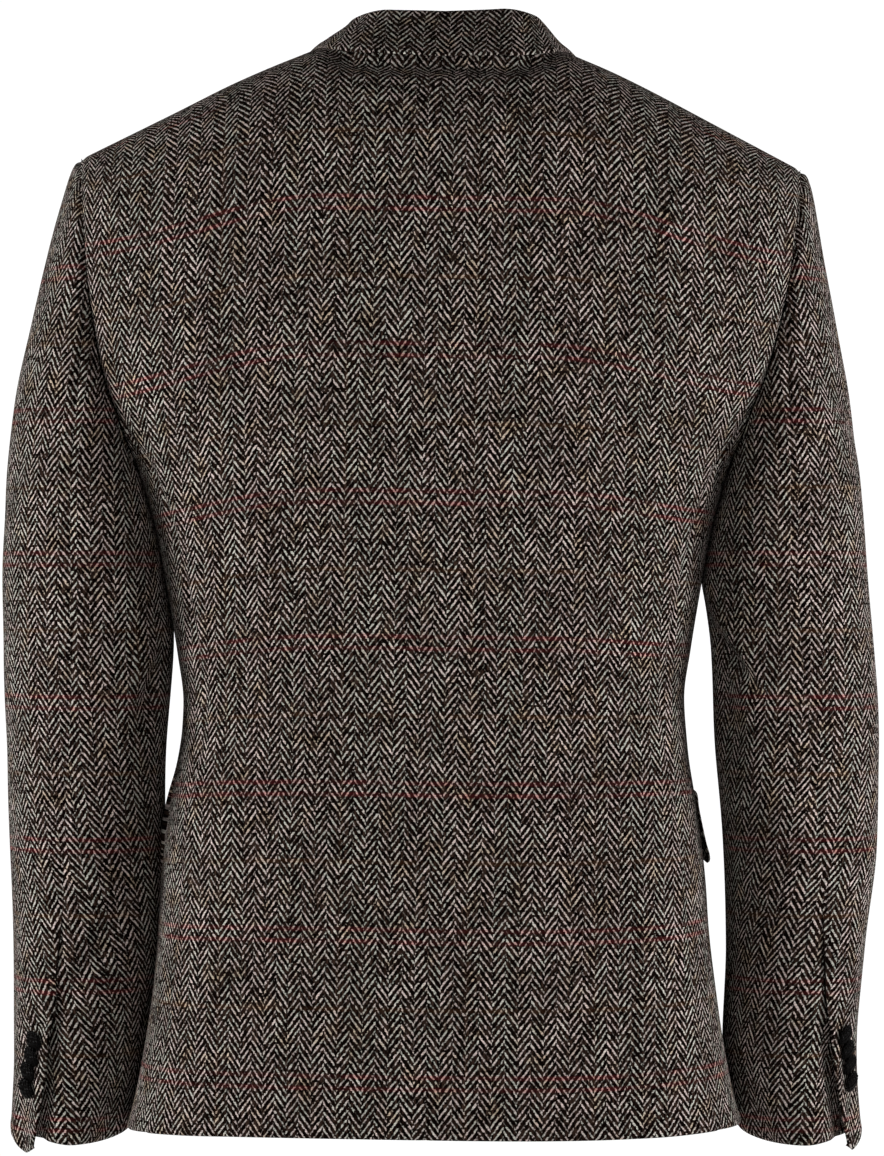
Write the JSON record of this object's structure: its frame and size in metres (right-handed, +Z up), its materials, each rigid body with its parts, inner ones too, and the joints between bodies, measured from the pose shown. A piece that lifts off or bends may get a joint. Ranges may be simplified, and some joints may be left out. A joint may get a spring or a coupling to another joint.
{
  "type": "tweed hacking jacket",
  "caption": "Single-breasted herringbone tweed hacking jacket, worn open-hollow shape with notch collar, set-in sleeves, flap pockets, side vents and knotted buttons.",
  "frame": {"origin": "middle of the neck opening, level with the nape, where the wearer's neck and shoulders carry the jacket", "axes": "+Z up; the jacket faces -Y; the wearer's left side is toward +X"},
  "size_m": [0.5915, 0.2733, 0.7656],
  "materials": {
    "tweed": "matte woollen herringbone",
    "knotted_button": "knotted, low sheen"
  },
  "bodies": {
    "root": {"back_left": "tweed", "back_right": "tweed", "side_body_left": "tweed", "side_body_right": "tweed", "front_left": "tweed", "front_right": "tweed", "lapel_left": "tweed", "lapel_right": "tweed", "top_sleeve_left": "tweed", "top_sleeve_right": "tweed", "under_sleeve_left": "tweed", "under_sleeve_right": "tweed", "pocket_flap_left": "tweed", "pocket_flap_right": "tweed", "collar": "tweed", "front_button_1": "knotted_button", "front_button_2": "knotted_button", "cuff_button_left_1": "knotted_button", "cuff_button_left_2": "knotted_button", "cuff_button_left_3": "knotted_button", "cuff_button_left_4": "knotted_button", "cuff_button_right_1": "knotted_button", "cuff_button_right_2": "knotted_button", "cuff_button_right_3": "knotted_button", "cuff_button_right_4": "knotted_button"}
  },
  "joints": []
}
